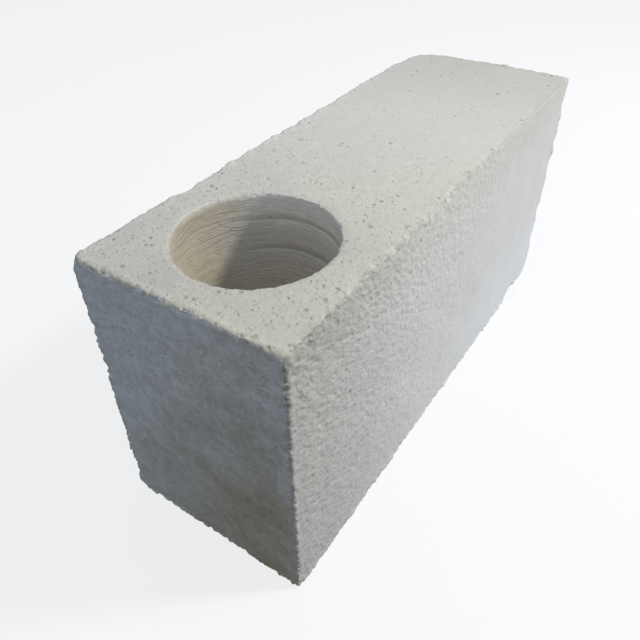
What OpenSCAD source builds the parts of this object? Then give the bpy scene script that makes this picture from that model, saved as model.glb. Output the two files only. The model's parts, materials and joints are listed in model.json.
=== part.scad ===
// Aerated concrete block with a core drilled through it for a vertical bar and its grout.
// The block lies as it is laid in a wall: length along X, thickness along Y, height along Z.
// The origin is the middle of the bottom bed face, and the cored end is at -X.

/* [Block] */
// Length, end to end
block_l = 500; // [300:5:650]
// Thickness, which is the thickness of the wall
block_w = 175; // [150:5:300]
// Height, from bed face to bed face
block_h = 250; // [150:5:300]
// Radius that handling has worn on the arrises
arris_r = 2; // [0.5:0.5:6]

/* [Core] */
// Diameter of the drilled core
core_d = 117; // [60:1:130]
// From the cored end to the core's axis
core_inset = 86; // [75:1:140]
// Width of the chamfer crumbled off the core's two rims
rim = 1; // [0.5:0.5:3]

/* [Drilling ledges] */
// Depth below the top bed at which the bit's first pass ended
first_pass = 21; // [15:1:35]
// Depth below the top bed at which the bit's second pass ended
second_pass = 48; // [45:1:120]
// How far the bit cut back the core's wall at the end of a pass
ledge = 1.5; // [0.5:0.5:3]
// Height over which the wall runs back in above a ledge
ledge_rise = 7; // [3:1:10]

/* [Hidden] */

block_colour = [0.79, 0.79, 0.765];
arc_fn = 48;
core_fn = 128;
// How far a cut runs past the face that it opens
over = 1;
core_r = core_d / 2;

// An a by b rectangle about the origin, its corners rounded to radius r
module rounded_rectangle(a, b, r) {
    square([a - 2 * r, b], center = true);
    square([a, b - 2 * r], center = true);
    for (x = [-1, 1], y = [-1, 1])
        translate([x * (a / 2 - r), y * (b / 2 - r)])
            circle(r = r, $fn = arc_fn);
}

// A bar of length len along Z about the origin, with the rounded section
module worn_bar(a, b, len) {
    translate([0, 0, -len / 2])
        linear_extrude(height = len)
            rounded_rectangle(a, b, arris_r);
}

// The sawn block, where three bars that cross leave all twelve arrises worn round
module sawn_block() {
    translate([0, 0, block_h / 2])
        intersection() {
            worn_bar(block_l, block_w, block_h);
            rotate([90, 0, 0])
                worn_bar(block_l, block_h, block_w);
            rotate([0, 90, 0])
                worn_bar(block_h, block_w, block_l);
        }
}

// The cone that chamfers the core's rim in the top bed face
module rim_cone() {
    translate([0, 0, block_h - rim])
        cylinder(h = rim + over, r1 = core_r, r2 = core_r + rim + over, $fn = core_fn);
}

// The cut that leaves a ledge in the core's wall where a pass ended, depth below the top bed face
module ledge_cut(depth) {
    translate([0, 0, block_h - depth])
        cylinder(h = ledge_rise, r1 = core_r + ledge, r2 = core_r, $fn = core_fn);
}

// All that the core bit takes out, from below the bottom bed face to above the top one
module core() {
    translate([core_inset - block_l / 2, 0, 0]) {
        translate([0, 0, -over])
            cylinder(h = block_h + 2 * over, r = core_r, $fn = core_fn);
        rim_cone();
        translate([0, 0, block_h])
            mirror([0, 0, 1])
                rim_cone();
        for (depth = [first_pass, second_pass])
            ledge_cut(depth);
    }
}

module block() {
    color(block_colour)
        difference() {
            sawn_block();
            core();
        }
}

block();
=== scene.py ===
"""Cored block of autoclaved aerated concrete, with its sawn, torn and drilled faces.

It is laid out as an add-on and run as a script: main() calls the operators that the Panel in the
3D view's sidebar lists. Lengths are in metres, in the block's own frame: the length along X, the
thickness along Y, the height along Z, and the cored end at -X.
"""

import json
import math

import bpy
import numpy as np
from mathutils import Euler, Matrix, Vector


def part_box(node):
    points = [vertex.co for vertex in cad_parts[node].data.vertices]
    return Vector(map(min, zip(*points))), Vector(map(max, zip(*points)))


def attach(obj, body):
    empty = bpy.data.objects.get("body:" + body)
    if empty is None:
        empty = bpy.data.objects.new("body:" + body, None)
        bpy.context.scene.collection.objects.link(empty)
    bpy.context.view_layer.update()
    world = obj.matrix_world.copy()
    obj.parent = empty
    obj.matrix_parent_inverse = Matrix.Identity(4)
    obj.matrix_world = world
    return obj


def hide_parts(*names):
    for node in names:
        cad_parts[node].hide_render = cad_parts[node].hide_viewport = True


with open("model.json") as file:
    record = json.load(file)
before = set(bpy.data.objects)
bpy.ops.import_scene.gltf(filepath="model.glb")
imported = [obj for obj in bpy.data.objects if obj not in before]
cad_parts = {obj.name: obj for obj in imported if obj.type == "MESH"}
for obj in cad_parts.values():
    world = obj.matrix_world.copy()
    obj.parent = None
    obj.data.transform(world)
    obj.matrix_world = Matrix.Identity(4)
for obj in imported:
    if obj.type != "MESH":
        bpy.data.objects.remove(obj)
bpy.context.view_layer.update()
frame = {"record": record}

bl_info = {
    "name": "Cored aerated concrete block",
    "version": (1, 0, 0),
    "blender": (4, 5, 0),
    "location": "3D View > Sidebar > Block",
    "description": "Models a cored aerated concrete block and sets a plain stage for it",
    "category": "Object",
}

MM = 0.001
# Neighbouring faces that turn by more than this meet at a sharp edge
SMOOTH_UP_TO = math.radians(38)

# The block and its core, as they were built
LOW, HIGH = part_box("block")
MIDDLE = (LOW + HIGH) / 2
HALF = (HIGH - LOW) / 2
CORE = next(m for m in frame["record"]["mounts"] if m["name"] == "core")
CORE_AXIS = Vector(CORE["pos_m"])
CORE_RADIUS = CORE["dims"]["r_mm"] * MM

# Over how far one kind of face passes into the next at an arris
BLEND = 1.2 * MM
# How far beyond the core's wall a place still goes with the core rather than with the faces, and
# the widest that a rim is worn round, which has to stay inside that
CORE_ZONE = 9 * MM
WIDEST_RIM = 8.5 * MM
# The radius that arrises and rims are worn round to everywhere, and what wear adds to it: here and
# there along the arrises; on those by the cored end that hands take hold of, with how much that
# varies; and on the core's rims, here and there and on their +Y side
LEAST_WEAR = 0.4 * MM
WANDERING_WEAR = 2.4 * MM
HANDLED_WEAR = 2.5 * MM
HANDLED_SPREAD = 1.5 * MM
RIM_WEAR = 1.6 * MM
RIM_SIDE_WEAR = 2.6 * MM
# Where handling has worn or bitten the block back: the spot as shares of the half sizes, what that
# adds to the radius it is worn round to, and how far round the spot it reaches
WORN_SPOTS = (
    ((-1, 1, 1), 5 * MM, 6.5 * MM),
    ((-1, -1, 1), 3.5 * MM, 13 * MM),
    ((-0.99, -0.12, 1), 2.5 * MM, 12 * MM),
    ((-1, 0.72, 1), 3 * MM, 18 * MM),
    ((-0.56, 1, 1), 6 * MM, 10 * MM),
    ((0.93, 1, 1), 6 * MM, 34 * MM),
    ((1, 1, 1), 7 * MM, 18 * MM),
    ((1, -0.9, 1), 2 * MM, 12 * MM),
    ((1, -1, -1), 8 * MM, 13 * MM),
    ((0.9, -1, -1), 8 * MM, 15 * MM),
    ((0.795, -1, -1), 27 * MM, 13 * MM),
    ((-1, 1, -1), 2 * MM, 7 * MM),
    ((1, 1, -1), 7 * MM, 12 * MM),
    ((0.2, 1, -1), 8 * MM, 12 * MM),
    ((-0.45, 1, 1), 3 * MM, 22 * MM),
)
# How far the edges of those spots wander
RAGGED = 1.4 * MM
# Chips off the core's rim: the way to them from its axis, how deep they are and how far they reach
RIM_CHIPS = (
    (Vector((0.15, -1, 0)), 3 * MM, 6 * MM),
    (Vector((-0.35, 1, 0)), 2 * MM, 7 * MM),
    (Vector((-0.95, 0.35, 0)), 1.6 * MM, 6 * MM),
    (Vector((0.9, -0.5, 0)), 1.6 * MM, 5 * MM),
)
# Where each pass of the core bit ended: its depth below the top bed, and how far its ledge tilts.
# Then how far above a ledge the wall, cut back there, has run back in
LEDGES = ((21 * MM, 3.0 * MM), (48 * MM, 3.4 * MM))
LEDGE_RUN = 7 * MM
# How deep each kind of relief is, before its place on the block makes it more or less
WAVE = 1.5 * MM
BREAKS = 3.2 * MM
NIBBLES = 0.9 * MM
TEARS = 0.8 * MM
SAW_MARKS = 0.4 * MM
CORE_RINGS = 0.4 * MM
LEDGE_CUT = 1.2 * MM
# How far the bottom bed is hollow between the arrises that the block stands on
HOLLOW = 0.4 * MM
# How much wider than a hollow is deep the wear has to be, so that the surface can't fold over
UNFOLDED = 1.2
# On the map that the finish is baked through: the gap between faces, and how far from a face the
# mesh has to be before it goes with another face however squarely it faces that way
MAP_GAP = 6 * MM
MAP_REACH = 30 * MM
CORE_SIDES = 256
# The torn grain of the long faces runs down at this angle, away from the cored end
GRAIN_SLOPE = math.radians(28)
# How the saw's arcs across an end bend, in 1/m, and how they tilt
SAW_BEND = 0.9
SAW_TILT = 0.1
# Pores that the saw opened, broken bubbles that the wire tore and scores that the tools left: how
# far apart they lie, how wide the pores are, and how deep they look
SMALL_PORES = {"pitch": 3.6 * MM, "size": 1.35 * MM, "depth": 0.5 * MM}
LARGE_PORES = {"pitch": 7 * MM, "size": 1.8 * MM, "depth": 0.9 * MM}
CRUMBS = {"pitch": 3.4 * MM, "depth": 0.27 * MM}
COARSE_CRUMBS = {"pitch": 6 * MM, "depth": 0.9 * MM}
SCORES = {"pitch": 2.1 * MM, "depth": 0.22 * MM}
SPECULAR = 0.25
ROUGHNESS = 0.97


# Nodes -------------------------------------------------------------------------------------------


class Wire:
    """An output in a node tree that adds and multiplies, so that a pattern reads as a formula."""

    def __init__(self, tree, socket):
        self.tree = tree
        self.socket = socket

    def math(self, operation, *others):
        node = self.tree.nodes.new("ShaderNodeMath")
        node.operation = operation
        for socket, value in zip(node.inputs, (self, *others)):
            feed(self.tree, socket, value)
        return Wire(self.tree, node.outputs[0])

    def __add__(self, other):
        return self.math("ADD", other)

    def __sub__(self, other):
        return self.math("SUBTRACT", other)

    def __mul__(self, other):
        return self.math("MULTIPLY", other)

    def __truediv__(self, other):
        return self.math("DIVIDE", other)

    def __neg__(self):
        return self.math("MULTIPLY", -1)

    def __rsub__(self, other):
        return (-self).math("ADD", other)

    def __rtruediv__(self, other):
        return self.math("POWER", -1) * other

    __radd__ = __add__
    __rmul__ = __mul__

    def least(self, other):
        return self.math("MINIMUM", other)

    def most(self, other):
        return self.math("MAXIMUM", other)

    def size(self):
        return self.math("ABSOLUTE")

    def ramp(self, start, end, smooth=True):
        """0 up to start and 1 from end, or the other way round where end is less than start."""
        node = self.tree.nodes.new("ShaderNodeMapRange")
        node.interpolation_type = "SMOOTHSTEP" if smooth else "LINEAR"
        for name, value in (("Value", self), ("From Min", start), ("From Max", end)):
            feed(self.tree, node.inputs[name], value)
        return Wire(self.tree, node.outputs["Result"])

    def vector(self, operation, *others, scale=None):
        node = self.tree.nodes.new("ShaderNodeVectorMath")
        node.operation = operation
        for socket, value in zip(node.inputs, (self, *others)):
            feed(self.tree, socket, value)
        if scale is not None:
            feed(self.tree, node.inputs["Scale"], scale)
        gives_value = operation in ("LENGTH", "DISTANCE", "DOT_PRODUCT")
        return Wire(self.tree, node.outputs["Value" if gives_value else "Vector"])

    def parts(self):
        node = self.tree.nodes.new("ShaderNodeSeparateXYZ")
        feed(self.tree, node.inputs[0], self)
        return [Wire(self.tree, out) for out in node.outputs]

    def shaded(self, share):
        """This colour, lighter or darker by that share."""
        return self.vector("SCALE", scale=share)


def feed(tree, socket, value):
    """Links a wire to an input, or sets the input to a plain value."""
    if isinstance(value, Wire):
        tree.links.new(value.socket, socket)
    else:
        socket.default_value = value


def vector_of(tree, x, y, z):
    node = tree.nodes.new("ShaderNodeCombineXYZ")
    for socket, value in zip(node.inputs, (x, y, z)):
        feed(tree, socket, value)
    return Wire(tree, node.outputs[0])


def noise(place, pitch, octaves=2, roughness=0.5):
    """Even noise about 0, from -1 to 1, whose lumps are about pitch across."""
    node = place.tree.nodes.new("ShaderNodeTexNoise")
    values = (place, 1 / pitch, octaves - 1, roughness)
    for name, value in zip(("Vector", "Scale", "Detail", "Roughness"), values):
        feed(place.tree, node.inputs[name], value)
    return (Wire(place.tree, node.outputs["Fac"]) - 0.5) * 2


def cells(place, pitch):
    """The distance to the nearest of scattered points, and three random shares for that point."""
    node = place.tree.nodes.new("ShaderNodeTexVoronoi")
    for name, value in (("Vector", place), ("Scale", 1 / pitch)):
        feed(place.tree, node.inputs[name], value)
    shares = Wire(place.tree, node.outputs["Color"]).parts()
    return Wire(place.tree, node.outputs["Distance"]) * pitch, shares


def mix_vectors(share, first, second):
    """The first vector where share is 0 and the second where it is 1."""
    step = second.vector("SUBTRACT", first).vector("SCALE", scale=share)
    return first.vector("ADD", step)


def mix_colours(share, first, second):
    """The first colour where share is 0 and the second where it is 1."""
    node = share.tree.nodes.new("ShaderNodeMix")
    node.data_type = "RGBA"
    sockets = {socket.identifier: socket for socket in node.inputs}
    for name, value in (("Factor_Float", share), ("A_Color", first), ("B_Color", second)):
        feed(share.tree, sockets[name], value)
    result = next(out for out in node.outputs if out.identifier == "Result_Color")
    return Wire(share.tree, result)


def new_input(tree, name, kind="NodeSocketFloat", default=None):
    socket = tree.interface.new_socket(name, in_out="INPUT", socket_type=kind)
    if default is not None:
        socket.default_value = default


# The block's shape as fields ---------------------------------------------------------------------


class Faces:
    """Where a point is on the block: what face it is on, and how near it is to the others.

    x, y and z are measured from the block's middle, and radius from the core's axis.
    """

    def __init__(self, point):
        self.point = point
        self.tree = point.tree
        self.offset = point.vector("SUBTRACT", MIDDLE)
        x, y, z = self.offset.parts()
        self.x, self.y, self.z = x, y, z
        self.to_end = HALF.x - x.size()
        self.to_long = HALF.y - y.size()
        self.to_bed = HALF.z - z.size()
        self.from_axis = point.vector("SUBTRACT", CORE_AXIS).vector("MULTIPLY", (1, 1, 0))
        self.spoke = self.from_axis.vector("NORMALIZE")
        self.radius = self.from_axis.vector("LENGTH")
        self.to_core = (self.radius - CORE_RADIUS).size()

    def on(self, face):
        """1 on that kind of face and 0 on the others, crossing over at the arrises."""
        own = {"end": self.to_end, "long": self.to_long, "bed": self.to_bed, "core": self.to_core}
        others = [own[name] for name in own if name != face]
        nearest = others[0].least(others[1]).least(others[2])
        return (nearest - own[face]).ramp(-BLEND, BLEND)

    def by_core(self):
        """1 up to the end of the core's zone and 0 beyond it, in one short step."""
        return self.radius.ramp(CORE_RADIUS + CORE_ZONE, CORE_RADIUS + CORE_ZONE - 0.1 * MM)

    def core_side(self):
        """From 1 on the core's side away from the cored end and to -Y, to -1 on the other side."""
        x, y, _ = self.spoke.parts()
        return x * 0.8 - y * 0.6

    def arris(self, reach):
        """1 on an arris, falling to 0 at that distance from it."""
        a, b, c = self.to_end, self.to_long, self.to_bed
        second = a.most(b).least(a.most(c)).least(b.most(c))
        return second.ramp(reach, 0)

    def rim(self, reach):
        """1 on the core's rims, falling to 0 at that distance from them."""
        return self.to_core.most(self.to_bed).ramp(reach, 0)

    def torn_arris(self, reach):
        """1 on the arris between the top bed and the torn face at -Y, falling to 0 round it."""
        return (HALF.y + self.y).most(HALF.z - self.z).ramp(reach, 0)

    def crumbled_arris(self, reach):
        """1 on the torn arris near the cored end, falling to 0 round it and at its corner, and
        nearly to 0 towards its far end."""
        along = self.near_cored_end(-60 * MM, 150 * MM) * 0.85 + 0.15
        return self.torn_arris(reach) * along * self.x.ramp(-248 * MM, -232 * MM)

    def handled_arrises(self):
        """1 along the cored end's arrises with the top bed and the face at -Y, and 0 elsewhere."""
        near = (HALF.x + self.x).most((HALF.z - self.z).least(HALF.y + self.y))
        ends = (HALF.z + self.z).ramp(6 * MM, 30 * MM) * (HALF.y - self.y).ramp(6 * MM, 24 * MM)
        return near.ramp(16 * MM, 8 * MM) * ends

    def near_cored_end(self, start, end):
        """1 at the cored end, falling to 0: where it starts to fall, and where it is 0, along X."""
        return self.x.ramp(end, start)

    def along_grain(self, share):
        """The point in the torn grain's own directions, with that share of its length along it."""
        along = self.x * math.cos(GRAIN_SLOPE) - self.z * math.sin(GRAIN_SLOPE)
        across = self.x * math.sin(GRAIN_SLOPE) + self.z * math.cos(GRAIN_SLOPE)
        return vector_of(self.tree, along * share, self.y, across)

    def round_core(self, stretch):
        """The point on the core's wall, drawn out that much round it, so that noise makes rings."""
        x, y, _ = self.spoke.vector("SCALE", scale=CORE_RADIUS / stretch).parts()
        return vector_of(self.tree, x, y, self.z)

    def along_saw(self, stretch):
        """The point on an end, drawn out along the flat arcs that the saw leaves across it."""
        arc = self.z + self.y * self.y * SAW_BEND + self.y * SAW_TILT
        return vector_of(self.tree, self.x, self.y / stretch, arc)


def torn_strength(faces):
    """How rough the long faces are torn: most at the cored end's top, and little far from it."""
    far = faces.x.ramp(-240 * MM, 190 * MM, smooth=False)
    low = faces.z.ramp(120 * MM, -110 * MM, smooth=False)
    top = faces.z.ramp(60 * MM, HALF.z) * (1 - far)
    return (1 - far * 0.84 - low * 0.3 + top * 0.1).most(0.08)


def ledge_depth(faces):
    """How far the core wall is cut back above the ledges that each pass of the bit left."""
    depth = HALF.z - faces.z
    x, y, _ = faces.spoke.parts()
    strength = faces.core_side().ramp(-0.35, 0.75)
    drift = noise(faces.from_axis, 25 * MM) * (1.2 * MM)
    grooves = []
    for low, tilt in LEDGES:
        below = depth - (x * 0.25 + y * 0.6) * tilt - drift - low
        run_in = below.ramp(-LEDGE_RUN, -0.6 * MM)
        step = below.ramp(0.3 * MM, -0.5 * MM)
        grooves.append(run_in * step * LEDGE_CUT)
    return sum(grooves) * strength


def wear_radius(faces):
    """How far the arrises and corners are worn round at a point."""
    wander = noise(faces.point, 22 * MM, octaves=3).most(0) * WANDERING_WEAR
    radius = LEAST_WEAR + wander * (1 - faces.torn_arris(20 * MM))
    handled = HANDLED_WEAR + noise(faces.point, 12 * MM) * HANDLED_SPREAD
    radius = radius + faces.handled_arrises() * handled
    ragged = noise(faces.point, 7 * MM) * RAGGED
    for shares, worn, reach in WORN_SPOTS:
        spot = Vector(HALF[i] * shares[i] for i in range(3))
        near = faces.offset.vector("DISTANCE", spot) + ragged
        radius = radius + near.ramp(reach * 1.4, reach * 0.3) * worn
    return radius


def worn_arrises(faces, sunk):
    """The point moved to where the arrises are worn round, and the way out of the block there.

    They are worn wider where the surface is sunk, so that it can't fold over itself there.
    """
    wear = wear_radius(faces) + sunk
    reach = vector_of(faces.tree, *(HALF[i] - wear for i in range(3)))
    inner = faces.offset.vector("MINIMUM", reach).vector("MAXIMUM", reach.vector("SCALE", scale=-1))
    outward = faces.offset.vector("SUBTRACT", inner).vector("NORMALIZE")
    worn = inner.vector("ADD", outward.vector("SCALE", scale=wear)).vector("ADD", MIDDLE)
    return worn, outward


def worn_rims(faces, sunk):
    """The same for the core's rims: each is worn round a ring that is wider than the core."""
    tree = faces.tree
    rim = LEAST_WEAR + (noise(faces.point, 13 * MM, octaves=3) + 0.1).most(0) * RIM_WEAR
    x, y, _ = faces.spoke.parts()
    worn_side = (x * 0.3 + y * 0.95).ramp(0.55, 1)
    rim = (rim + worn_side * RIM_SIDE_WEAR + sunk).least(WIDEST_RIM)
    wall = faces.radius.most(CORE_RADIUS + rim)
    height = faces.z.least(HALF.z - rim).most(rim - HALF.z)
    out = vector_of(tree, faces.radius - wall, 0, faces.z - height).vector("NORMALIZE")
    out_r, _, out_z = out.parts()
    outward = faces.spoke.vector("SCALE", scale=out_r).vector("ADD", vector_of(tree, 0, 0, out_z))
    foot = vector_of(tree, CORE_AXIS.x, CORE_AXIS.y, height + rim * out_z + MIDDLE.z)
    worn = faces.spoke.vector("SCALE", scale=wall + rim * out_r).vector("ADD", foot)
    return worn, outward


def relief(faces):
    """How far each spot of the surface stands out, or in where it is negative."""
    point = faces.point
    end, long, bed, core = (faces.on(name) for name in ("end", "long", "bed", "core"))
    handled = faces.handled_arrises()
    torn_edge = faces.torn_arris(14 * MM)
    wave = noise(point, 45 * MM) * WAVE
    wavy = (end * 0.7 + long * 0.6 + bed * 0.22 + faces.arris(9 * MM) * 0.4).least(1)
    lift = wave * wavy

    # The arrises are broken in stretches: less round the top bed, and least on its far torn arris
    quiet = faces.z.ramp(HALF.z - 14 * MM, HALF.z - 5 * MM) * faces.x.ramp(-240 * MM, -215 * MM)
    straight = torn_edge * faces.x.ramp(-120 * MM, 90 * MM)
    share = noise(point, 50 * MM, octaves=1).ramp(-0.45, 0.45, smooth=False) + 0.45
    share = share * (1.1 - quiet * 0.5) * (1 - straight * 0.65) * (1 - handled * 0.3)
    broken = noise(point, 12 * MM, octaves=4, roughness=0.7) * share * BREAKS
    nibbles = noise(point, 3.6 * MM) * NIBBLES * (1 - straight * 0.7 - handled * 0.4)
    outset = (0.4 + handled * 0.5 - torn_edge * 0.4) * MM
    lift = lift + (broken + outset) * faces.arris(8 * MM) + nibbles * faces.arris(4 * MM)
    lift = lift - (nibbles.size() + broken.size() * 0.5) * faces.crumbled_arris(12 * MM)

    # Chips off the near torn arris and round the cored end, but not off the corner between them
    chips = noise(point, 9 * MM, octaves=3, roughness=0.65).ramp(0.05, 0.55)
    chippy = torn_edge * faces.near_cored_end(-120 * MM, 110 * MM) * 0.75
    chippy = chippy.most(faces.near_cored_end(-242 * MM, -232 * MM))
    corner = faces.offset.vector("DISTANCE", (-HALF.x, -HALF.y, HALF.z))
    chippy = chippy * corner.ramp(7 * MM, 20 * MM) * faces.arris(7 * MM)
    lift = lift - chips * chippy * (2.4 - handled * 0.4) * MM

    lift = lift - (broken.size() + nibbles.size()) * faces.rim(4.5 * MM) * 0.9
    lift = lift - bed * faces.z.math("LESS_THAN", 0) * HOLLOW
    for way, deep, reach in RIM_CHIPS:
        spot = CORE_AXIS + Vector((0, 0, HIGH.z)) + way.normalized() * CORE_RADIUS
        lift = lift - (point.vector("DISTANCE", spot) + nibbles).ramp(reach, reach * 0.2) * deep
    torn = noise(faces.along_grain(0.6), 6 * MM, octaves=3, roughness=0.6)
    lift = lift + torn * torn_strength(faces) * long * TEARS
    lift = lift + noise(faces.along_saw(3), 9 * MM, octaves=3) * end * SAW_MARKS
    rings = noise(faces.round_core(2.4), 5 * MM, octaves=3, roughness=0.6)
    return lift + (rings * CORE_RINGS - ledge_depth(faces)) * core


def relief_tree():
    """Geometry nodes that wear the block's arrises round and give each face its relief."""
    tree = bpy.data.node_groups.new("block_relief", "GeometryNodeTree")
    tree.is_modifier = True
    new_input(tree, "Block", "NodeSocketGeometry")
    tree.interface.new_socket("Block", in_out="OUTPUT", socket_type="NodeSocketGeometry")
    source = tree.nodes.new("NodeGroupInput")
    result = tree.nodes.new("NodeGroupOutput")
    faces = Faces(Wire(tree, tree.nodes.new("GeometryNodeInputPosition").outputs[0]))

    lift = relief(faces)
    sunk = (-lift).most(0) * UNFOLDED
    worn, outward = worn_arrises(faces, sunk)
    rim_worn, rim_outward = worn_rims(faces, sunk)
    by_core = faces.by_core()
    worn = mix_vectors(by_core, worn, rim_worn)
    outward = mix_vectors(by_core, outward, rim_outward)
    moved = worn.vector("ADD", outward.vector("SCALE", scale=lift))
    # Nothing goes below the plane that the block stands on, and -1 m sets no limit the other ways
    moved = moved.vector("MAXIMUM", (-1, -1, LOW.z))

    place = tree.nodes.new("GeometryNodeSetPosition")
    tree.links.new(source.outputs["Block"], place.inputs["Geometry"])
    feed(tree, place.inputs["Position"], moved)
    tree.links.new(place.outputs["Geometry"], result.inputs["Block"])
    return tree


# Shader node groups ------------------------------------------------------------------------------


def shader_group(name, takes, gives, rule):
    """A node group whose outputs the rule works out from its inputs, as wires in their order."""
    tree = bpy.data.node_groups.new(name, "ShaderNodeTree")
    for label, default in takes.items():
        kind = "NodeSocketVector" if default is None else "NodeSocketFloat"
        new_input(tree, label, kind, default)
    for label in gives:
        tree.interface.new_socket(label, in_out="OUTPUT", socket_type="NodeSocketFloat")
    source = tree.nodes.new("NodeGroupInput")
    result = tree.nodes.new("NodeGroupOutput")
    answers = rule(*(Wire(tree, source.outputs[label]) for label in takes))
    for label, answer in zip(gives, answers):
        tree.links.new(answer.socket, result.inputs[label])
    return tree


def place_group(group, tree, **values):
    """Places a group in a material, feeds its inputs by their names and returns its outputs."""
    node = tree.nodes.new("ShaderNodeGroup")
    node.node_tree = group
    for name, value in values.items():
        feed(tree, node.inputs[name.capitalize()], value)
    return [Wire(tree, out) for out in node.outputs]


def pores_rule(place, pitch, size, share, depth):
    """Pores that the cut has opened, few of them large, in that share of the cells."""
    distance, (own_size, chance, tone) = cells(place, pitch)
    radius = size * (0.45 + own_size * own_size)
    mask = distance.ramp(radius * 1.25, radius * 0.15) * chance.math("LESS_THAN", share)
    mask = mask * (0.3 + tone * 0.7)
    return mask, mask * depth * -1


def crumbs_rule(place, pitch, depth):
    """Small broken bubbles with ridges between them, as the wire tears them open."""
    lumps = noise(place, pitch * 0.75, roughness=0.55)
    bend = lumps * pitch * 0.35
    bent = place.vector("ADD", vector_of(place.tree, bend, bend * 0.5, bend * -0.7))
    distance, (own_depth, chance, _) = cells(bent, pitch)
    bowl = (distance / pitch).ramp(0.62, 0.12) * (0.35 + own_depth * 0.65)
    pits = bowl * chance.math("LESS_THAN", 0.4)
    return (lumps * 0.5 - bowl) * depth, pits


def scores_rule(place, pitch, depth):
    """Fine scores that run along a tool's path, with a few that are cut deeper."""
    fine = noise(place, pitch, octaves=3, roughness=0.7)
    deep = noise(place, pitch * 2.6).size().ramp(0.09, 0.01)
    return (fine - deep * 0.8) * depth, deep


GROUPS = {
    "pores": (
        {"Place": None, "Pitch": 6 * MM, "Size": 1 * MM, "Share": 0.5, "Depth": 0.5 * MM},
        ("Mask", "Height"), pores_rule,
    ),
    "crumbs": (
        {"Place": None, "Pitch": 2.5 * MM, "Depth": 0.5 * MM},
        ("Height", "Pits"), crumbs_rule,
    ),
    "scores": (
        {"Place": None, "Pitch": 1.5 * MM, "Depth": 0.2 * MM},
        ("Height", "Deep"), scores_rule,
    ),
}


# Materials ---------------------------------------------------------------------------------------


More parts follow.
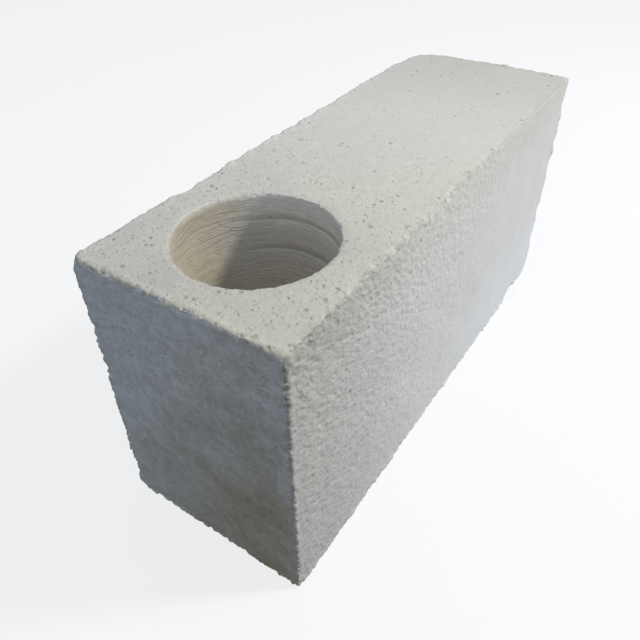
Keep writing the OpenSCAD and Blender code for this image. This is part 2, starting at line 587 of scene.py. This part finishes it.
class Finish:
    """Works out the colour and the relief of each kind of face of the block."""

    def __init__(self, tree, settings):
        coordinates = tree.nodes.new("ShaderNodeTexCoord")
        self.tree = tree
        self.faces = Faces(Wire(tree, coordinates.outputs["Object"]))
        self.point = self.faces.point
        self.groups = {name: shader_group(name, *parts) for name, parts in GROUPS.items()}
        self.colours = {
            setting.identifier: (*getattr(settings, setting.identifier), 1)
            for setting in settings.bl_rna.properties
            if getattr(setting, "is_array", False)
        }
        self.drift = noise(self.point, 60 * MM, octaves=3)
        self.patches = noise(self.point, 6 * MM, octaves=3, roughness=0.7)
        self.grain = noise(self.point, 1.9 * MM, roughness=0.6)
        self.crumbled = (self.faces.crumbled_arris(12 * MM) - 0.15).most(0)
        self.handled = self.faces.handled_arrises()
        # Painted shade along the arrises, less on the handled ones by the cored end, against the
        # bright line that the lamps draw along their rounding
        edge = self.faces.arris(1.8 * MM)
        far = self.faces.x.ramp(-100 * MM, 60 * MM)
        near_edge_shade = edge * (1 - self.handled * 0.75) * (1 - far)
        self.painted_edge_shade = (near_edge_shade + edge.ramp(0.3, 0.7) * far * 1.05) * 0.27
        # The faces' finishes meet on a ragged line, a little way down the ends, so that the ends'
        # bright colour with its painted skylight stays off the worn arrises
        broken = (self.patches * 2.5 + self.grain) * (1 + self.crumbled * 1.3) * MM
        self.faces.to_bed = self.faces.to_bed + broken
        self.faces.to_end = self.faces.to_end - broken * 0.5 + (1.1 + self.handled * 0.9) * MM
        self.on = {name: self.faces.on(name) for name in ("end", "long", "bed", "core")}

    def placed(self, name, **values):
        return place_group(self.groups[name], self.tree, **values)

    def mixed(self, share, first, second):
        """A colour between two others, each of them a colour's name or a wire."""
        first, second = (
            self.colours[colour] if isinstance(colour, str) else colour
            for colour in (first, second))
        return mix_colours(share, first, second)

    def pores(self):
        """Opened bubbles on every face: dense on the bed by the cored end, and few far from it."""
        on, faces = self.on, self.faces
        crowd = (faces.near_cored_end(-190 * MM, 60 * MM) + self.drift * 0.4).most(0)
        crowd = crowd * on["bed"] + self.crumbled * 0.5
        ragged = self.point.vector("ADD", (self.grain * 0.6 + self.patches * 0.8) * MM)
        share = 0.22 + crowd * 0.66 + on["end"] * 0.38 - on["core"] * 0.12 - on["long"] * 0.14
        large_share = 0.08 + crowd * 0.8 - on["core"] * 0.08
        small, small_height = self.placed("pores", place=ragged, share=share, **SMALL_PORES)
        large, large_height = self.placed("pores", place=ragged, share=large_share, **LARGE_PORES)
        return (small * 0.4 + large * 0.56).least(0.75), small_height + large_height

    def bed(self):
        """Sawn across its bubbles, duller at both ends and creamier along the torn arris.

        Its own height is 0, because its pores and grain are all the relief it has.
        """
        faces = self.faces
        bright = faces.x.ramp(-235 * MM, 50 * MM) * faces.x.ramp(240 * MM, 50 * MM)
        # Darker round the core on the cored end's side, and painted shade beside the cored end's
        # worn top arris
        round_core = faces.near_cored_end(-210 * MM, -40 * MM) * faces.y.ramp(60 * MM, 15 * MM)
        painted_end_arris_shade = faces.near_cored_end(-244 * MM, -232 * MM)
        shade = round_core * 0.11 + painted_end_arris_shade * 0.045
        colour = self.mixed(bright, "dull_stone", "stone").shaded(1 - shade)
        torn_side = (-faces.y).ramp(-200 * MM, 90 * MM) * faces.near_cored_end(-120 * MM, 230 * MM)
        creamy = (torn_side * (0.8 + self.drift * 0.5)).most(0)
        return self.mixed(creamy * 0.6, colour, "cream"), 0

    def long(self):
        """Torn by the wire: broken bubbles in rows that run down, coarsest under the top arris."""
        faces = self.faces
        strength = torn_strength(faces)
        place = faces.along_grain(0.75)
        crumbs, pits = self.placed("crumbs", place=place, **CRUMBS)
        coarse, coarse_pits = self.placed("crumbs", place=place, **COARSE_CRUMBS)
        # Darker torn stone towards the cored end: its own tone, and painted shade of its rougher
        # relief
        colour = self.mixed(faces.x.ramp(-240 * MM, -50 * MM), "torn", "pale_torn")
        far = faces.x.ramp(-70 * MM, 210 * MM)
        top = faces.z.ramp(20 * MM, HALF.z)
        low = faces.z.ramp(10 * MM, -100 * MM)
        strip = faces.z.ramp(HALF.z - 50 * MM, HALF.z - 4 * MM)
        colour = self.mixed(strip * 0.45, colour, "cream")
        # Painted bluish fill light low down far from the cored end
        colour = self.mixed(low * far * 0.3, colour, "blue_dust_and_light")
        strip_shade = strip * (faces.near_cored_end(-230 * MM, -50 * MM) * 0.14 + 0.02)
        beyond_core = faces.x.ramp(-120 * MM, -10 * MM)
        plain_end = faces.x.ramp(90 * MM, 230 * MM)
        corner = faces.z.ramp(0, 80 * MM) * faces.near_cored_end(-235 * MM, -150 * MM)
        # Painted shade beside the cored end's worn upright arris
        painted_end_arris_shade = faces.near_cored_end(-244 * MM, -233 * MM)
        # Darker under the top arris and towards both ends, and paler low down beyond the core:
        # apart from the strip just under the top arris, painted shade and painted light that even
        # out how the lamps fall on this face
        shade = top * (0.02 + far * 0.07) - low * far * 0.05 + far * 0.02 + strip_shade
        shade = shade - low * beyond_core * 0.05 + plain_end * 0.045
        shade = shade + corner * 0.03 + painted_end_arris_shade * 0.055
        dark = (pits * 0.16 + coarse_pits * 0.22) * (strength + self.crumbled * 0.6)
        colour = self.mixed(dark.least(0.7), colour.shaded(1 - shade), "pore")
        return colour, (crumbs + coarse * 0.7) * strength

    def end(self):
        """Sawn: faint flat arcs; pale and bluish above, dust with painted skylight, and brown
        below, damp with painted shade from the floor.
        """
        faces = self.faces
        blotches = noise(self.point, 24 * MM)
        torn_edge = (-faces.y).ramp(66 * MM, 84 * MM)
        back_edge = faces.y.ramp(20 * MM, 80 * MM)
        # Paler with each metre up, towards +Y and by the upright arrises: partly drier stone,
        # partly painted skylight; lower down browner, partly damp and partly painted shade from the
        # floor
        dry_and_lit = faces.z * 5.5 + faces.y * 9 + self.drift * 0.6 + blotches * 0.5 + 0.16
        dry_and_lit = dry_and_lit + torn_edge * 0.5 + back_edge * 0.2
        colour = self.mixed(dry_and_lit.ramp(-1, 1, smooth=False), "damp_and_shaded_end", "dust_and_skylight_end")
        # Dust by the ends' arrises and in streaks, its blue painted skylight
        band = (faces.arris(28 * MM) - faces.arris(7 * MM)) * faces.z.ramp(-60 * MM, 60 * MM)
        dust_and_skylight = band * (0.5 + self.patches + self.smears)
        streaks = faces.z.ramp(-30 * MM, 80 * MM) * (-faces.y).ramp(0, 75 * MM)
        dust_and_skylight = dust_and_skylight * 0.3 + self.smears * streaks * 0.5 * (1 - faces.arris(9 * MM))
        colour = self.mixed(dust_and_skylight.most(0), colour, "blue_dust_and_light")
        # The plain end keeps less of the cored end's painted skylight and shade, and goes partly
        # towards the beds' stone
        plain_end = faces.x.ramp(-100 * MM, 100 * MM)
        colour = self.mixed(plain_end * 0.6, colour, "stone")
        speckle = self.patches * 0.2 + self.grain * 0.09 + blotches * 0.05
        return colour.shaded(1 + self.smears * 0.08 + speckle + self.deep * 0.03), self.scores * 0.7

    def core(self):
        """Drilled: rings round the wall, with painted warm light on the side that faces the key
        lamp and painted shade on the other.
        """
        faces = self.faces
        x, y, _ = faces.spoke.parts()
        top = faces.to_bed.ramp(34 * MM, 8 * MM) * (x * 0.7 + y * 0.7).ramp(-0.3, 0.6)
        turn = faces.core_side()
        side = turn.ramp(-0.65, 0.15)
        lit_side_top = top * turn.ramp(0.3, -0.1)
        # The warm colour is painted light on the wall that faces the key lamp, grey stone on the
        # shaded side; just under the rim on the lit side it is greyer
        colour = self.mixed(side * (1 - lit_side_top * 0.6), "warm_lit_core", "core")
        # Painted shade in the grooves above the ledges and, darker, just under the rim on the lit
        # side; on the shaded side, painted light low down and just under the rim, and painted shade
        # between
        shade = ledge_depth(faces) * (0.2 / MM) - top * side * 0.23 + lit_side_top * 0.16
        high = faces.z.ramp(10 * MM, 80 * MM)
        shade = shade + side * (high * 0.22 - 0.16)
        return colour.shaded(1 + self.smears * 0.12 - shade), self.scores * 1.3

    def tool_marks(self):
        """The marks that the saw left along an end, and the bit round the core."""
        faces = self.faces
        place = mix_vectors(faces.by_core(), faces.along_saw(9), faces.round_core(9))
        self.scores, self.deep = self.placed("scores", place=place, **SCORES)
        self.smears = noise(place, 9 * MM, octaves=3, roughness=0.6)

    def build(self):
        """The whole block's colour, height and roughness."""
        faces = self.faces
        # The grain shows most by the cored end
        lively = 1 - faces.x.ramp(-60 * MM, 180 * MM) * 0.62
        self.tool_marks()
        colour, height = self.bed()
        for name, finish in (("long", self.long), ("end", self.end), ("core", self.core)):
            own_colour, own_height = finish()
            colour = mix_colours(self.on[name], colour, own_colour)
            height = own_height * self.on[name] + height
        near = faces.near_cored_end(-210 * MM, -60 * MM) * self.on["bed"]
        mottled = (self.patches * 0.12 + self.grain * (near * 0.08 + 0.04)) * lively
        colour = colour.shaded(1 + self.drift * 0.03 + mottled)
        holes, hole_height = self.pores()
        rim = faces.rim(2.5 * MM) * (faces.core_side().ramp(-0.7, 0.2) * 0.4 + 0.1)
        unworn = 1 - faces.torn_arris(6 * MM).most(self.handled * 0.7) * 0.85
        broken = (faces.arris(4 * MM) * 0.16 * unworn + rim) * (0.6 + self.patches)
        # The painted shade along the arrises goes into the same dark mix
        broken = broken + self.painted_edge_shade
        colour = self.mixed(holes.most(broken).least(0.8), colour, "pore")
        grain_height = lively * (0.07 * MM) + (self.crumbled * 0.5 + broken.most(0)) * (0.15 * MM)
        height = height + hole_height + self.grain * grain_height
        height = height + self.patches * lively * (0.09 * MM)
        return colour, height, ROUGHNESS - holes * 0.1 + self.grain * 0.02


def concrete_material(settings):
    material = bpy.data.materials.new("aerated_concrete")
    material.use_nodes = True
    tree = material.node_tree
    tree.nodes.clear()
    shader = tree.nodes.new("ShaderNodeBsdfPrincipled")
    output = tree.nodes.new("ShaderNodeOutputMaterial")
    tree.links.new(shader.outputs["BSDF"], output.inputs["Surface"])
    shader.inputs["Specular IOR Level"].default_value = SPECULAR
    colour, height, roughness = Finish(tree, settings).build()
    tree.links.new(colour.socket, shader.inputs["Base Color"])
    tree.links.new(roughness.socket, shader.inputs["Roughness"])
    # The height is in metres already
    bump = tree.nodes.new("ShaderNodeBump")
    bump.inputs["Distance"].default_value = 1.0
    tree.links.new(height.socket, bump.inputs["Height"])
    tree.links.new(bump.outputs["Normal"], shader.inputs["Normal"])
    return material


# Modelling ---------------------------------------------------------------------------------------


def deselect():
    bpy.ops.object.select_all(action="DESELECT")


def apply_modifier(piece, kind, **settings):
    modifier = piece.modifiers.new(kind.lower(), kind)
    for name, value in settings.items():
        setattr(modifier, name, value)
    bpy.context.view_layer.objects.active = piece
    bpy.ops.object.modifier_apply(modifier=modifier.name)


def sharp_block():
    """The block as it is sawn and drilled, with sharp arrises."""
    deselect()
    bpy.ops.mesh.primitive_cube_add(size=1, location=MIDDLE, scale=HALF * 2)
    block = bpy.context.active_object
    block.name = "concrete_block"
    bpy.ops.object.transform_apply(location=True, rotation=True, scale=True)
    bpy.ops.mesh.primitive_cylinder_add(
        vertices=CORE_SIDES, radius=CORE_RADIUS, depth=HALF.z * 3,
        location=(*CORE_AXIS.xy, MIDDLE.z),
    )
    core = bpy.context.active_object
    bpy.ops.object.transform_apply(location=True, rotation=True, scale=True)
    apply_modifier(block, "BOOLEAN", operation="DIFFERENCE", object=core, solver="EXACT")
    bpy.data.objects.remove(core)
    return block


def laid_out(length, width, height, wrap):
    """Each face's axes along the map, the way it faces and its place on the map; the unrolled
    core's place; and the map's side. All of them are in metres, before the map is scaled to 1."""
    x, y, z = np.eye(3)
    gap = MAP_GAP
    right = gap * 2 + length
    second = gap * 2 + height
    third = gap + second + height
    faces = (
        (x, z, -y, (gap, gap)),
        (y, z, -x, (right, gap)),
        (x, z, y, (gap, second)),
        (y, z, x, (right, second)),
        (x, y, z, (gap, third)),
        (x, y, -z, (gap, third + width + gap)),
    )
    side = max(right + wrap + gap, third + (width + gap) * 2)
    return faces, (right, third), side


def numbers(items, name):
    """A whole number of each item of a mesh, in one array."""
    values = np.empty(len(items), np.int32)
    items.foreach_get(name, values)
    return values


def vectors(items, name):
    """A vector of each item of a mesh, in one array."""
    values = np.empty(len(items) * 3, np.float32)
    items.foreach_get(name, values)
    return values.reshape(-1, 3)


def lay_out_map(block):
    """Lays the faces and the unrolled core side by side on the map for baking."""
    mesh = block.data
    corners = vectors(mesh.vertices, "co")[numbers(mesh.loops, "vertex_index")]
    counts = numbers(mesh.polygons, "loop_total")
    middles = vectors(mesh.polygons, "center")
    normals = vectors(mesh.polygons, "normal")
    owner = np.repeat(np.arange(len(counts)), counts)

    def about_core(places):
        return places[:, :2] - np.array(CORE_AXIS.xy)

    faces, core_place, side = laid_out(*(HALF * 2), math.tau * CORE_RADIUS)
    low = np.array(LOW)
    best = np.full(len(counts), -np.inf)
    spots = np.zeros((len(corners), 2))
    for along, up, out, place in faces:
        away = np.abs((middles - np.array(MIDDLE)) @ out - abs(np.array(HALF) @ out))
        score = normals @ out - away / MAP_REACH
        flat = (corners - low) @ np.stack((along, up), axis=1) + place
        wins = score > best
        spots = np.where(wins[owner, None], flat, spots)
        best = np.maximum(best, score)
    spoke = about_core(middles)
    radius = np.hypot(*spoke.T)
    score = -(normals[:, :2] * spoke).sum(axis=1) / radius
    score = score - np.abs(radius - CORE_RADIUS) / MAP_REACH
    turn = np.arctan2(spoke[:, 1], spoke[:, 0])[owner]
    own_turn = np.arctan2(*about_core(corners).T[::-1])
    turn = turn + (own_turn - turn + math.pi) % math.tau - math.pi
    unrolled = np.stack(((turn + math.pi) * CORE_RADIUS, corners[:, 2] - low[2]), axis=1)
    spots = np.where((score > best)[owner, None], unrolled + core_place, spots)
    layer = mesh.uv_layers.new(name="OFBake", do_init=False)
    layer.uv.foreach_set("vector", (spots / side).astype(np.float32).ravel())


def colour_property(name, description, default):
    return bpy.props.FloatVectorProperty(
        name=name, description=description, default=default, subtype="COLOR", min=0, max=1)


class BlockSettings(bpy.types.PropertyGroup):
    """Sizes and colours of the block that a user would change."""

    voxel: bpy.props.FloatProperty(
        name="Voxel", description="Size of the grid that the block is meshed on",
        default=1.1 * MM, min=0.5 * MM, unit="LENGTH",
    )
    triangles: bpy.props.IntProperty(
        name="Triangles", description="Most triangles that the finished block may have",
        default=190000, min=1000,
    )
    stone: colour_property("Stone", "Clean sawn concrete of the beds", (0.72, 0.695, 0.635))
    dull_stone: colour_property("Dull stone", "The beds near the ends", (0.62, 0.595, 0.54))
    cream: colour_property("Cream", "Yellower stone along the torn arris", (0.72, 0.685, 0.555))
    pore: colour_property("Pore", "Dirt and shade in the pores", (0.24, 0.235, 0.21))
    # Torn stone by the cored end is darker, partly with painted shade of its rough relief
    torn: colour_property("Torn", "Torn long faces by the cored end", (0.57, 0.555, 0.49))
    pale_torn: colour_property("Pale torn", "Torn long faces far from it", (0.69, 0.68, 0.605))
    # The ends' pale colour is bright and bluish with painted skylight, as the cored end stands in
    # shade
    dust_and_skylight_end: colour_property("Dusty end", "Sawn ends, dry and dusty", (0.71, 0.74, 0.73))
    # The ends' brown is damp, and painted shade from the floor
    damp_and_shaded_end: colour_property("Damp end", "Sawn ends, brown with damp", (0.45, 0.393, 0.293))
    # Blue dust, and the painted bluish light of the sky and the fill lamp
    blue_dust_and_light: colour_property("Blue dust", "Dust by the ends' arrises", (0.66, 0.71, 0.76))
    # Warm colour painted where the key lamp lights the core's wall
    warm_lit_core: colour_property("Tan core", "Fresh stone on the core's open side",
                              (0.62, 0.555, 0.435))
    core: colour_property("Core", "Stone in the rest of the core", (0.685, 0.665, 0.62))


class BLOCK_OT_block(bpy.types.Operator):
    """Model the cored block with its worn arrises and the relief of its faces"""

    bl_idname = "block.block"
    bl_label = "Model the block"

    def execute(self, context):
        settings = context.scene.block_settings
        block = sharp_block()
        voxel = settings.voxel
        apply_modifier(block, "REMESH", mode="VOXEL", voxel_size=voxel)
        apply_modifier(block, "NODES", node_group=relief_tree())
        count = sum(len(face.vertices) - 2 for face in block.data.polygons)
        apply_modifier(block, "DECIMATE", ratio=min(1, settings.triangles / count))
        deselect()
        block.select_set(True)
        bpy.ops.object.shade_smooth_by_angle(angle=SMOOTH_UP_TO)
        lay_out_map(block)
        block.data.materials.clear()
        block.data.materials.append(concrete_material(settings))
        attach(block, "root")
        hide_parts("block")
        return {"FINISHED"}


# The stage ---------------------------------------------------------------------------------------


class StageSettings(bpy.types.PropertyGroup):
    """Light and floor that a user would change."""

    key_power: bpy.props.FloatProperty(
        name="Key lamp", description="Power of the key lamp", default=24.2, subtype="POWER",
    )
    fill_power: bpy.props.FloatProperty(
        name="Fill lamp", description="Power of the low soft lamp", default=10.6, subtype="POWER",
    )
    sky_strength: bpy.props.FloatProperty(
        name="Sky", description="Strength of the light from all round", default=0.52,
    )
    key_colour: colour_property("Key colour", "Colour of the key lamp", (1.0, 0.99, 0.93))
    fill_colour: colour_property("Fill colour", "Colour of the low soft lamp", (0.71, 0.73, 1.0))
    sky_colour: colour_property("Sky colour", "Colour of the light from all round",
                                (0.745, 0.83, 0.97))
    floor_colour: colour_property("Floor", "Colour that the floor throws back on the block",
                                  (0.06, 0.055, 0.04))


FLOOR_SIZE = 12
FLOOR_PALE = (0.9, 0.9, 0.9)
# How much of the floor, as it is seen, glows white by itself and so takes no shadow
FLOOR_GLOW = 0.78
WHITE = (1, 1, 1)
# From the core's mouth to the key lamp, and from the block's middle to the fill lamp
KEY_WAY = Vector((0.453, -0.604, 0.656)) * 2.0
FILL_WAY = Vector((0.9, -0.9, -0.02))
KEY_SIZE = 0.25
FILL_SIZE = 0.7
# The camera: its place, where it points, how it is rolled, and how the picture is framed
CAMERA_PLACE = Vector((-0.43735, -0.23805, 0.48056))
CAMERA_TURN = (math.radians(90 - 39.25), 0, math.radians(-54.35))
CAMERA_ROLL = math.radians(-1.73)
CAMERA_SENSOR = 36
CAMERA_LENS = 35.06
CAMERA_SHIFT = (0.0190, -0.0193)


def add_lamp(name, place, target, size, power, colour):
    """A square soft lamp that points at the target."""
    deselect()
    way = target - place
    bpy.ops.object.light_add(
        type="AREA", location=place, rotation=way.to_track_quat("-Z", "Y").to_euler())
    lamp = bpy.context.active_object
    lamp.name = name
    lamp.data.size = size
    lamp.data.energy = power
    lamp.data.color = colour


def seen_directly(tree):
    """1 for rays that come straight, or by a mirror or through glass, from the camera."""
    path = tree.nodes.new("ShaderNodeLightPath")
    seen, glossy, through = (
        Wire(tree, path.outputs[name])
        for name in ("Is Camera Ray", "Is Glossy Ray", "Is Transmission Ray"))
    return seen.most(glossy).most(through)


def mix_shaders(tree, share, first, second, output):
    mixer = tree.nodes.new("ShaderNodeMixShader")
    for socket, value in zip(mixer.inputs, (share, first, second)):
        feed(tree, socket, value)
    tree.links.new(mixer.outputs[0], output)


def plain_shader(tree, kind, colour, strength=None):
    node = tree.nodes.new(kind)
    node.inputs["Color"].default_value = (*colour, 1)
    if strength is not None:
        node.inputs["Strength"].default_value = strength
    return Wire(tree, node.outputs[0])


def floor_material(settings):
    """Pale where it is seen, with a soft shadow, and darker for the light it throws back."""
    material = bpy.data.materials.new("floor")
    material.use_nodes = True
    tree = material.node_tree
    tree.nodes.clear()
    output = tree.nodes.new("ShaderNodeOutputMaterial")
    pale = tree.nodes.new("ShaderNodeMixShader")
    pale.inputs[0].default_value = FLOOR_GLOW
    feed(tree, pale.inputs[1], plain_shader(tree, "ShaderNodeBsdfDiffuse", FLOOR_PALE))
    feed(tree, pale.inputs[2], plain_shader(tree, "ShaderNodeEmission", WHITE, 1.0))
    dark = plain_shader(tree, "ShaderNodeBsdfDiffuse", settings.floor_colour)
    mix_shaders(tree, seen_directly(tree), dark, Wire(tree, pale.outputs[0]), output.inputs[0])
    return material


def make_sky(settings):
    """Soft light from all round, behind a white backdrop."""
    world = bpy.data.worlds.new("sky")
    world.use_nodes = True
    tree = world.node_tree
    tree.nodes.clear()
    output = tree.nodes.new("ShaderNodeOutputWorld")
    light = plain_shader(
        tree, "ShaderNodeBackground", settings.sky_colour, settings.sky_strength)
    backdrop = plain_shader(tree, "ShaderNodeBackground", WHITE, 1.0)
    mix_shaders(tree, seen_directly(tree), light, backdrop, output.inputs[0])
    return world


class BLOCK_OT_stage(bpy.types.Operator):
    """Set a pale floor, soft light and the camera"""

    bl_idname = "block.stage"
    bl_label = "Set the stage"

    def execute(self, context):
        settings = context.scene.stage_settings
        scene = context.scene
        deselect()
        bpy.ops.mesh.primitive_plane_add(size=FLOOR_SIZE)
        floor = context.active_object
        floor.name = "floor"
        floor.data.materials.append(floor_material(settings))

        core_mouth = Vector((*CORE_AXIS.xy, HIGH.z))
        add_lamp(
            "key", core_mouth + KEY_WAY, core_mouth, KEY_SIZE,
            settings.key_power, settings.key_colour)
        add_lamp(
            "fill", MIDDLE + FILL_WAY, MIDDLE, FILL_SIZE,
            settings.fill_power, settings.fill_colour)
        scene.world = make_sky(settings)

        turn = Euler(CAMERA_TURN).to_matrix() @ Matrix.Rotation(CAMERA_ROLL, 3, "Z")
        bpy.ops.object.camera_add(location=CAMERA_PLACE, rotation=turn.to_euler())
        camera = context.active_object
        camera.data.sensor_width = CAMERA_SENSOR
        camera.data.lens = CAMERA_LENS
        camera.data.shift_x, camera.data.shift_y = CAMERA_SHIFT
        scene.camera = camera
        scene.view_settings.view_transform = "Standard"
        return {"FINISHED"}


class BLOCK_PT_panel(bpy.types.Panel):
    """Lists the block's operators"""

    bl_label = "Cored block"
    bl_space_type = "VIEW_3D"
    bl_region_type = "UI"
    bl_category = "Block"

    def draw(self, context):
        for operator in OPERATORS:
            self.layout.operator(operator.bl_idname)


OPERATORS = (BLOCK_OT_block, BLOCK_OT_stage)
CLASSES = (BlockSettings, StageSettings, *OPERATORS, BLOCK_PT_panel)


def register():
    for cls in CLASSES:
        bpy.utils.register_class(cls)
    bpy.types.Scene.block_settings = bpy.props.PointerProperty(type=BlockSettings)
    bpy.types.Scene.stage_settings = bpy.props.PointerProperty(type=StageSettings)


def unregister():
    del bpy.types.Scene.block_settings
    del bpy.types.Scene.stage_settings
    for cls in reversed(CLASSES):
        bpy.utils.unregister_class(cls)


def main():
    register()
    bpy.ops.block.block()
    bpy.ops.block.stage()


if __name__ == "__main__":
    main()
